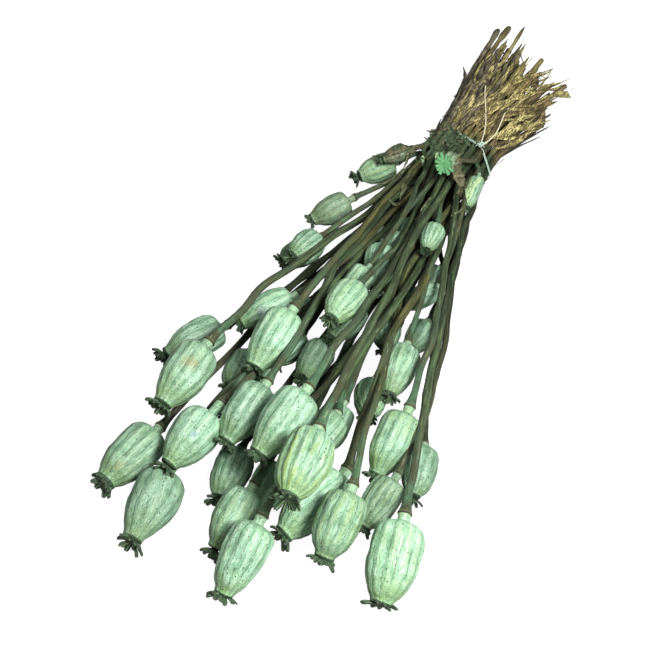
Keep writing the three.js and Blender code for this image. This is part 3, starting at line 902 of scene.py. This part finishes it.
# number: how bright the skin is, next to the common one; partly each head's own tone, partly painted light
# and shade for how brightly it is lit
SKIN_TONE_AND_SHADE = {
    1: 1.14, 2: 1.04, 3: 0.76, 4: 0.84, 5: 0.95, 6: 0.8, 7: 1.0, 8: 0.9, 9: 0.76, 10: 0.85, 12: 1.1,
    14: 0.85, 16: 0.95, 17: 1.15, 20: 0.75, 21: 0.7, 32: 0.85,
}
# number: width of the head and of its crown, next to what the solid has
BUILDS = {2: (0.92, 1.05), 36: (0.62, 1.0), 37: (0.9, 1.6), 38: (0.68, 0.9)}
# what the hidden heads take in turn
PLAIN_TRAITS = (
    ("common", "open", 0.25), ("long_neck", "upright", 0.15), ("round", "open", 0.4),
    ("barrel", "spread", 0.2), ("slim", "open", 0.3),
)

HEADS = {kind: model_head(kind) for kind in HEAD_KINDS}
CROWNS = {
    kind: model_crown("crown_" + kind, rays, lean, 5 + rays)
    for kind, (rays, lean) in CROWN_KINDS.items()
}
STRAIGHT_STEM = model_stem()
ENDS = {kind: model_end(kind) for kind in ("square", "slanted", "torn", "pointed")}
SLIVER = model_sliver()


def clouds(name, size, depth):
    texture = bpy.data.textures.new(name, "CLOUDS")
    texture.noise_scale = size
    texture.noise_depth = depth
    return texture


SWELLING = clouds("swelling", 26 * MM, 1)
DENTS = clouds("dents", 7 * MM, 3)


def curve_through(points, name):
    """A smooth curve through the points, to lay a straight piece along."""
    line = bpy.data.curves.new(name, "CURVE")
    line.dimensions = "3D"
    line.resolution_u = 16
    line.use_deform_bounds = False
    spline = line.splines.new("BEZIER")
    spline.bezier_points.add(len(points) - 1)
    for knot, point in zip(spline.bezier_points, points):
        knot.co = point
        knot.handle_left_type = "AUTO"
        knot.handle_right_type = "AUTO"
    holder = bpy.data.objects.new(name, line)
    scene.collection.objects.link(holder)
    return holder


def route_points(route, luck):
    """Points from the cut end to the crown, kinked between the solid's bends, straight through the head."""
    stem = route["stem"]
    points = [stem[0]]
    for last, point in zip(stem, stem[1:]):
        free = last.x > TIE.x + 25 * MM and (point - last).length > 30 * MM
        if free:
            kink = Vector((0, luck.uniform(-1.7, 1.7), luck.uniform(-1.2, 1.2))) * MM
            points.append(last.lerp(point, luck.uniform(0.4, 0.6)) + kink)
        points.append(point)
    for share in (0.0, 0.5, 1.0):
        points.append(route["ring"].lerp(route["crown"], share))
    return points


def route_length(curve):
    bpy.context.view_layer.update()
    points = [vertex.co.copy() for vertex in curve.to_mesh().vertices]
    curve.to_mesh_clear()
    return length_of(points)


def stay_above_floor(piece):
    """Flattens what would sink into the floor."""
    spots = places(piece)
    spots[:, 2] = np.maximum(spots[:, 2], 0.2 * MM + 0.1 * (spots[:, 2] - spots[:, 2].min()))
    put_places(piece, spots)


def push(piece, texture, strength, **settings):
    """Uneven growth or crumpling, by a cloud texture in the bunch's own place."""
    finish_with(
        piece, "DISPLACE", texture=texture, texture_coords="GLOBAL", strength=strength, **settings
    )


def grow_stalk(number):
    """A whole stalk, built straight and then laid along its route."""
    luck = random.Random(1000 + number)
    route = ROUTES[number]
    kind, crown_kind, olive = TRAITS.get(number) or PLAIN_TRAITS[number % len(PLAIN_TRAITS)]
    curve = curve_through(route_points(route, luck), "route")
    stem_length = route_length(curve) - route["length"]

    head = copy_of(HEADS[kind], "head")
    slim, wide_crown = BUILDS.get(number, (1.0, 1.0))
    widen = HEAD_GIRTH * slim * route["width"] / MODEL_WIDTH
    lengthen = HEAD_STRETCH * route["length"] / MODEL_LENGTH
    head.scale = (widen, widen, lengthen)
    crown = copy_of(CROWNS[crown_kind], "crown")
    spread = CROWN_SPREAD * widen * wide_crown
    crown.scale = (spread, spread, CROWN_HEIGHT * widen)
    crown.rotation_euler.z = luck.uniform(0, 6.28)
    crown.location.z = HEAD_KINDS[kind][1] * HEAD_STRETCH * route["length"] + 0.9 * MM
    # the wider the head, the thicker its stem
    girth = 0.7 + 0.3 * (route["width"] - 18 * MM) / (17 * MM) + luck.uniform(-0.06, 0.06)
    end = copy_of(ENDS[luck.choice(("square", "slanted", "torn", "pointed", "pointed", "torn"))], "end")
    end.location.z = -stem_length + END_LENGTH
    end.rotation_euler.z = luck.randrange(6) * math.pi / 3
    end.scale = (girth, girth, 1)
    middle = copy_of(STRAIGHT_STEM, "middle")
    stem_top = lengthen * FLARE_FROM + 2.5 * MM
    middle.scale = (girth, girth, stem_length - END_LENGTH + stem_top)
    middle.location.z = stem_top
    parts = [head, crown, end, middle]
    tie_height = TIE.x - route["stem"][0].x - stem_length
    loose = [(luck.uniform(-60, 10), luck.uniform(0.9, 2.2)) for _ in range(luck.choice((3, 4, 5)))]
    loose += [(luck.uniform(10, 60), luck.uniform(0.8, 1.8)) for _ in range(luck.choice((0, 1, 1)))]
    # slivers of bark: how far from the tie in mm, and how long
    for from_tie, size in loose:
        sliver = copy_of(SLIVER, "sliver")
        sliver.scale = (1, luck.uniform(0.45, 1.25), size)
        sliver.rotation_euler = (math.pi, 0, luck.uniform(0, 6.28))
        angle = -sliver.rotation_euler.z
        top = max(tie_height + from_tie * MM, -stem_length + size * SLIVER_LENGTH - 6 * MM)
        reach = END_RADIUS * girth * 0.85
        sliver.location = (reach * math.cos(angle), -reach * math.sin(angle), top)
        parts.append(sliver)
    for part in parts:
        set_place(part)
    stalk = join_up(parts, f"seed_head_stalk_{number:02d}")

    straight = places(stalk)
    for label, value in (
        ("straight", straight),
        ("share", straight[:, 2] / route["length"]),
        ("own", (luck.random(), luck.random(), luck.random())),
        ("ribs", HEAD_KINDS[kind][3]),
        ("olive", olive),
        ("dry", DRYNESS.get(number, 0.0)),
        ("fresh", 1.0 if number == FRESH_CROWN else 0.0),
        ("shade", SKIN_TONE_AND_SHADE.get(number, luck.uniform(0.82, 1.02))),
    ):
        store(stalk, label, value)

    stalk.location.z = stem_length
    set_place(stalk)
    finish_with(stalk, "CURVE", object=curve, deform_axis="POS_Z")
    bend = 3.6 * MM if kind != "shrunken" else 7 * MM
    push(stalk, SWELLING, bend, vertex_group="growth")
    push(stalk, DENTS, 1.1 * MM, vertex_group="growth")
    stay_above_floor(stalk)
    put_away(curve)
    show(stalk, f"poppy_stalk_{number:02d}")
    return stalk


stalk_pieces = [grow_stalk(number) for number in range(1, STALKS + 1)]

put_away(*HEADS.values(), *CROWNS.values(), *ENDS.values(), STRAIGHT_STEM, SLIVER)


# ---- the tie
def make_string_finish(name, steps, dark, light, roughness, strength, depth):
    """Thin string, with painted shade between its plies: darker where its relief is low."""
    w = begin_finish(name)
    plies = w.noise_in_steps(steps, 2.0)
    # painted shade: the dark tone follows the low parts of the relief
    return w.finished(roughness, w.mix(plies, dark, light), plies, strength, depth)


STRING = make_string_finish(
    "tie_string", (0.6, 0.6, 0.6), (150, 186, 164), (214, 232, 214), 0.45, 0.4, 0.2
)
STRAW = make_string_finish(
    "straw_string", (3, 0.4, 0.4), (206, 196, 152), (244, 238, 212), 0.6, 0.5, 0.3
)


def tube_middles(node):
    """The middles of a tube's rings, from its cap at the greatest X onwards."""
    body = merged_body(frame["nodes"][node])
    first = max(body.verts, key=lambda vertex: vertex.co.x)
    cap = [vertex for vertex in body.verts if (vertex.co - first.co).length < 1.3 * MM]
    middles = [middle for middle, _ in rings_along(cap)]
    body.free()
    return middles


def string_along(points, name, radius):
    curve = curve_through(points, name)
    curve.data.bevel_depth = radius
    curve.data.bevel_resolution = 3
    curve.data.use_fill_caps = True
    curve.data.resolution_u = 4
    pick(curve)
    bpy.ops.object.convert(target="MESH")
    return new_piece(name)


for node, name in (("tie_tail_long", "string_tail_long"), ("tie_tail_short", "string_tail_short")):
    points = tube_middles(node)
    points = points[::2] + ([points[-1]] if len(points) % 2 == 0 else [])
    tail = string_along(points, name, 0.6 * MM)
    tail.data.materials.append(STRAW)
    show(tail, node)


def thin_string():
    """The two turns of string round the bunch, a little thinner than their solid."""
    band = bpy.data.objects.new("string_band", frame["nodes"]["tie_thread"].data.copy())
    scene.collection.objects.link(band)
    open_piece(band)
    bpy.ops.mesh.remove_doubles(threshold=1e-6)
    close_piece()
    finish_with(band, "DISPLACE", strength=-0.22 * MM, mid_level=0.0)
    round_off(band, 1)
    band.data.materials.clear()
    band.data.materials.append(STRING)
    show(band, "tie_thread")
    return band


def tie_knot():
    """A small pulled-down knot with its frayed tufts."""
    low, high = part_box("tie_knot")
    middle = (Vector(low) + Vector(high)) / 2
    luck = random.Random(77)
    points = []
    for step in range(19):
        turn_by = 2 * math.pi * step / 18
        around = Vector((
            math.sin(turn_by) + 2 * math.sin(2 * turn_by),
            math.cos(turn_by) - 2 * math.cos(2 * turn_by),
            -math.sin(3 * turn_by),
        ))
        points.append(middle + around * 0.95 * MM)
    strings = [string_along(points, "knot_loop", 0.5 * MM)]
    for index in range(9):
        way = Vector((luck.uniform(-1, 1), luck.uniform(-1, 1), luck.uniform(-0.05, 0.35))).normalized()
        reach = luck.uniform(3.2, 6) * MM
        bow = Vector((luck.uniform(-1, 1), luck.uniform(-1, 1), 0.6)) * 0.7 * MM
        tuft = [middle, middle + way * reach * 0.5 + bow, middle + way * reach]
        strings.append(string_along(tuft, f"tuft_{index}", 0.22 * MM))
    knot = join_up(strings, "string_knot")
    knot.data.materials.clear()
    knot.data.materials.append(STRING)
    show(knot, "tie_knot")


string_band = thin_string()
tie_knot()


# ---- withered leaves
def make_leaf_finish(name, dark, light):
    """Papery withered leaf, streaked and blotched."""
    w = begin_finish(name)
    streaks = w.noise_in_steps((5, 2, 2), 5.0, 0.7)
    grain = w.noise_in_steps((1.2, 0.7, 0.7), 3.0)
    tone = w.mix(w.ramp(streaks, 0.35, 0.62), dark, light)
    tone = w.mix(w.ramp(grain, 0.56, 0.68, 0.0, 0.6), tone, (34, 36, 26))
    return w.finished(0.72, tone, w.maths("ADD", streaks, w.times(grain, 0.5)), 0.8, 0.6)


GREEN_LEAF = make_leaf_finish("green_leaf", (26, 40, 26), (78, 98, 66))
BROWN_LEAF = make_leaf_finish("brown_leaf", (50, 50, 34), (112, 110, 80))
PALE_LEAF = make_leaf_finish("pale_leaf", (132, 160, 110), (190, 218, 166))

stalks_now = bpy.context.evaluated_depsgraph_get()
SURFACES = [BVHTree.FromObject(piece, stalks_now) for piece in (*stalk_pieces, string_band)]
# a height above the whole bunch, and how far a strip may hang down from its highest point
SKY = 0.3
MOST_DROOP = 12 * MM


def top_of_pile(x, y):
    """The height of the uppermost stalk over a place on the floor."""
    best = 2 * MM
    for surface in SURFACES:
        hit = surface.ray_cast((x, y, SKY), (0, 0, -1))[0]
        if hit:
            best = max(best, hit.z)
    return best


def drape(strip, rows, columns, lift, slack):
    """Lets a flat grid down on the stalks; a low slack bridges the gaps between them."""
    spots = places(strip)
    heights = np.array([top_of_pile(float(x), float(y)) for x, y, _ in spots])
    heights = np.maximum(heights, heights.max() - MOST_DROOP).reshape(rows, columns)
    for _ in range(slack):
        bridged = heights.copy()
        bridged[:, 1:-1] = np.maximum(heights[:, 1:-1], (heights[:, :-2] + heights[:, 2:]) / 2)
        heights = bridged
    padded = np.pad(heights, 1, mode="edge")
    calm = (padded[:-2, 1:-1] + padded[2:, 1:-1] + padded[1:-1, :-2] + padded[1:-1, 2:]) / 4
    spots[:, 2] += (np.maximum(heights, calm) + lift).ravel()
    put_places(strip, spots)


def lay_strip(name, finish, middle, length, width, angle, seed, thick, slack, rough, cells):
    """A strip of leaf or straw, pointed at its ends, laid on the stalks and crumpled."""
    luck = random.Random(seed)
    along_cells, across_cells = cells
    strip = add_piece(
        name, bpy.ops.mesh.primitive_grid_add, x_subdivisions=along_cells,
        y_subdivisions=across_cells, size=1,
    )
    strip.scale = (length, width, 1)
    set_place(strip)
    spots = places(strip)
    bow = luck.uniform(-0.09, 0.09)
    for step in range(along_cells + 1):
        share = step / along_cells
        here = np.abs(spots[:, 0] / length + 0.5 - share) < 0.4 / along_cells
        full = min(1.0, 2.6 * min(share + 0.06, 1.06 - share)) * luck.uniform(0.75, 1.08)
        sway = bow * length * math.cos(math.pi * (share - 0.5)) + luck.uniform(-1, 1) * rough * 0.3
        spots[here, 1] = spots[here, 1] * full + sway
        spots[here, 2] = luck.uniform(-0.4, 0.6) * rough
    strip.data.vertices.foreach_set("co", spots.ravel())
    strip.rotation_euler.z = math.radians(angle)
    strip.location = (middle[0], middle[1], 0)
    set_place(strip)
    drape(strip, across_cells + 1, along_cells + 1, 0.5 * thick + 0.4 * MM, slack)
    push(strip, DENTS, 1.6 * rough, mid_level=0.45, direction="Z")
    finish_with(strip, "SOLIDIFY", thickness=thick, offset=0)
    strip.data.materials.append(finish)
    return strip


def lay_leaf(name, finish, middle, length, width, angle, seed, node=None):
    leaf = lay_strip(
        name, finish, middle, length * MM, width * MM, angle, seed, 0.35 * MM, 2, 1.5 * MM, (22, 6)
    )
    round_off(leaf, 1)
    show(leaf, node)


def middle_of(node):
    low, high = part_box(node)
    return ((low[0] + high[0]) / 2, (low[1] + high[1]) / 2)


def near_tie(along, across):
    return (TIE.x + along * MM, TIE.y + across * MM)


lay_leaf("leaf_left", BROWN_LEAF, middle_of("leaf_scrap_left"), 38, 10, 8, 3, "leaf_scrap_left")
lay_leaf("leaf_top", GREEN_LEAF, middle_of("leaf_scrap_top"), 34, 8, -14, 5, "leaf_scrap_top")
# finish, place by the tie, length, width, angle
LEAVES = (
    (GREEN_LEAF, (1, -14), 34, 9, 84), (GREEN_LEAF, (7, -12), 40, 8, 70),
    (GREEN_LEAF, (15, -18), 36, 9, 14), (BROWN_LEAF, (-9, -21), 22, 12, 84),
    (BROWN_LEAF, (-10, -22), 24, 8, -6), (GREEN_LEAF, (10, -18), 26, 10, 80),
    (GREEN_LEAF, (20, -10), 34, 7, -12), (GREEN_LEAF, (26, 4), 32, 4, -8),
    (GREEN_LEAF, (3, 2), 22, 6, 66), (GREEN_LEAF, (16, -25), 40, 5, 14),
    (PALE_LEAF, (42, -4), 20, 3, 20), (PALE_LEAF, (50, -16), 18, 4, 44),
    (GREEN_LEAF, (28, -28), 34, 8, -12), (BROWN_LEAF, (-12, -16), 18, 10, 50),
    (GREEN_LEAF, (-3, -17), 26, 9, 84), (GREEN_LEAF, (12, -5), 28, 6, 10),
)
for index, (finish, place, length, width, angle) in enumerate(LEAVES):
    lay_leaf(f"leaf_wrap_{index + 1:02d}", finish, near_tie(*place), length, width, angle, 11 + index)
tangle = random.Random(90)
for index in range(22):
    place = near_tie(tangle.uniform(-6, 18), tangle.uniform(-25, -8))
    heading = tangle.choice((80, 80, 8)) + tangle.gauss(0, 22)
    length, width = tangle.uniform(12, 30), tangle.uniform(2, 5)
    finish = tangle.choice((GREEN_LEAF, GREEN_LEAF, BROWN_LEAF))
    lay_leaf(f"leaf_tangle_{index + 1:02d}", finish, place, length, width, heading, 140 + index)
# finish, stalk, share of its head, step to the side, length, width, turn from the head's own heading
HEAD_LEAVES = (
    (BROWN_LEAF, 36, 0.3, 0, 30, 14, 10), (GREEN_LEAF, 36, 0.7, -3, 26, 9, -16),
    (BROWN_LEAF, 37, -0.1, -2, 16, 9, 100), (GREEN_LEAF, 37, 0.2, -8, 22, 7, 20),
    (PALE_LEAF, 38, 0.4, -4, 40, 5, 8), (PALE_LEAF, 38, 0.5, 3, 32, 4, -12),
    (BROWN_LEAF, 38, 0.9, -8, 24, 10, 20), (BROWN_LEAF, 38, 0.5, -9, 30, 6, -4),
)
for index, (finish, number, share, aside, length, width, angle) in enumerate(HEAD_LEAVES):
    ring, crown = ROUTES[number]["ring"], ROUTES[number]["crown"]
    spot = ring.lerp(crown, share)
    heading = math.atan2(crown.y - ring.y, crown.x - ring.x)
    place = (spot.x - aside * MM * math.sin(heading), spot.y + aside * MM * math.cos(heading))
    lay_leaf(
        f"head_leaf_{index + 1}", finish, place, length, width, math.degrees(heading) + angle, 61 + index
    )


def make_dry_straw_finish(name, dark, light):
    """Split straw, streaked along X, with darker frayed spots."""
    w = begin_finish(name)
    streaks = w.noise_in_steps((9, 0.8, 0.8), 4.0, 0.6)
    blotch = w.noise_in_steps((14, 6, 6), 2.0)
    tone = w.mix(w.ramp(streaks, 0.42, 0.58), dark, light)
    tone = w.mix(w.ramp(blotch, 0.42, 0.66, 0.0, 0.8), tone, dark)
    return w.finished(0.7, tone, streaks, 0.6, 0.4)


SPLIT_STRAW = make_dry_straw_finish("split_straw", (84, 76, 40), (222, 210, 142))
GREY_STRAW = make_dry_straw_finish("grey_straw", (58, 52, 40), (142, 132, 106))
BROWN_STRAW = make_dry_straw_finish("brown_straw", (58, 50, 28), (166, 148, 96))
SPLIT_STEM = make_dry_straw_finish("split_stem", (48, 54, 36), (128, 138, 100))

# the crown that looks up stays free of loose bark
STAR = ROUTES[FRESH_CROWN]["crown"].xy
STAR_ROOM = 22 * MM
LOWEST_PERCH = 8 * MM


def scatter(name, finish, count, seed, along, across, fan, lengths, widths, rough):
    """Many thin strips laid over the stalks round the tie, in one piece."""
    luck = random.Random(seed)
    start, stop = along
    direction = 1 if stop > start else -1
    strips = []
    for index in range(count):
        length = luck.uniform(*lengths)
        reach = start + direction * 0.5 * length
        reach += luck.random() * (stop - direction * 0.3 * length - reach)
        side = luck.uniform(*across)
        slope = fan[0] + fan[1] * side
        place = near_tie(reach, side + slope * abs(reach))
        if top_of_pile(*place) < LOWEST_PERCH or (Vector(place) - STAR).length < STAR_ROOM:
            continue
        heading = direction * math.degrees(math.atan(slope)) + luck.gauss(0, 8)
        strips.append(lay_strip(
            f"{name}_{index}", finish, place, length * MM, luck.uniform(*widths) * MM, heading,
            seed + index, 0.6 * MM, 16, rough, (14, 2),
        ))
    show(join_up(strips, name))


# the slope of the fan at its middle, and how much it grows with each mm to the side
FAN = (0.19, 0.0145)
scatter("loose_straw", SPLIT_STRAW, 74, 400, (-3, -136), (-17, 25), FAN, (24, 84), (1.2, 3.6), 0.6 * MM)
scatter("grey_straw", GREY_STRAW, 46, 530, (-3, -136), (-27, -6), FAN, (24, 90), (1.6, 4.4), 0.6 * MM)
scatter("brown_straw", BROWN_STRAW, 40, 610, (-3, -130), (-4, 28), FAN, (24, 80), (1.6, 4.4), 0.6 * MM)
scatter("loose_bark", SPLIT_STEM, 34, 700, (16, 130), (-26, 26), (0, 0.0095), (12, 40), (0.8, 2.6), MM)


# ---- floor and light
def make_floor():
    """Paper that is white to look at, and grey where the lights are concerned."""
    floor = add_piece("floor", bpy.ops.mesh.primitive_plane_add, size=40, location=(0, 0, -0.5 * MM))
    w = begin_finish("floor_paper")
    tone = w.mix(w.noise(w.place(), 3.0, scale=40.0), (134, 134, 133), (140, 140, 139))
    floor.data.materials.append(w.finished(0.9, tone))
    paper = w.shader().inputs
    paper["Emission Color"].default_value = (1, 1, 1, 1)
    seen = w.node("LightPath").outputs["Is Camera Ray"]
    w.feed(paper["Emission Strength"], w.times(seen, 0.96))


def add_light(name, place, aim, size, power):
    lamp = bpy.data.lights.new(name, "AREA")
    lamp.shape = "DISK"
    lamp.size = size
    lamp.energy = power
    place_aimed(name, lamp, place, Vector(aim) - Vector(place))


make_floor()
add_light("key", (0.4, 0.5, 0.74), (0.1, 0, 0.02), 0.26, 14)
add_light("top", (0.1, 0, 1.5), (0, 0, 0), 1.0, 5)
world = bpy.data.worlds.new("studio")
world.use_nodes = True
# white to look at, and dim as a light
sky = Wiring(world.node_tree)
backdrop = sky.shader("BACKGROUND")
backdrop.inputs[0].default_value = (1, 1, 1, 1)
looked_at = sky.node("LightPath").outputs["Is Camera Ray"]
sky.feed(backdrop.inputs[1], sky.ramp(looked_at, 0.0, 1.0, 0.13, 1.0))
scene.world = world
scene.view_settings.view_transform = "Standard"
scene.view_settings.look = "None"
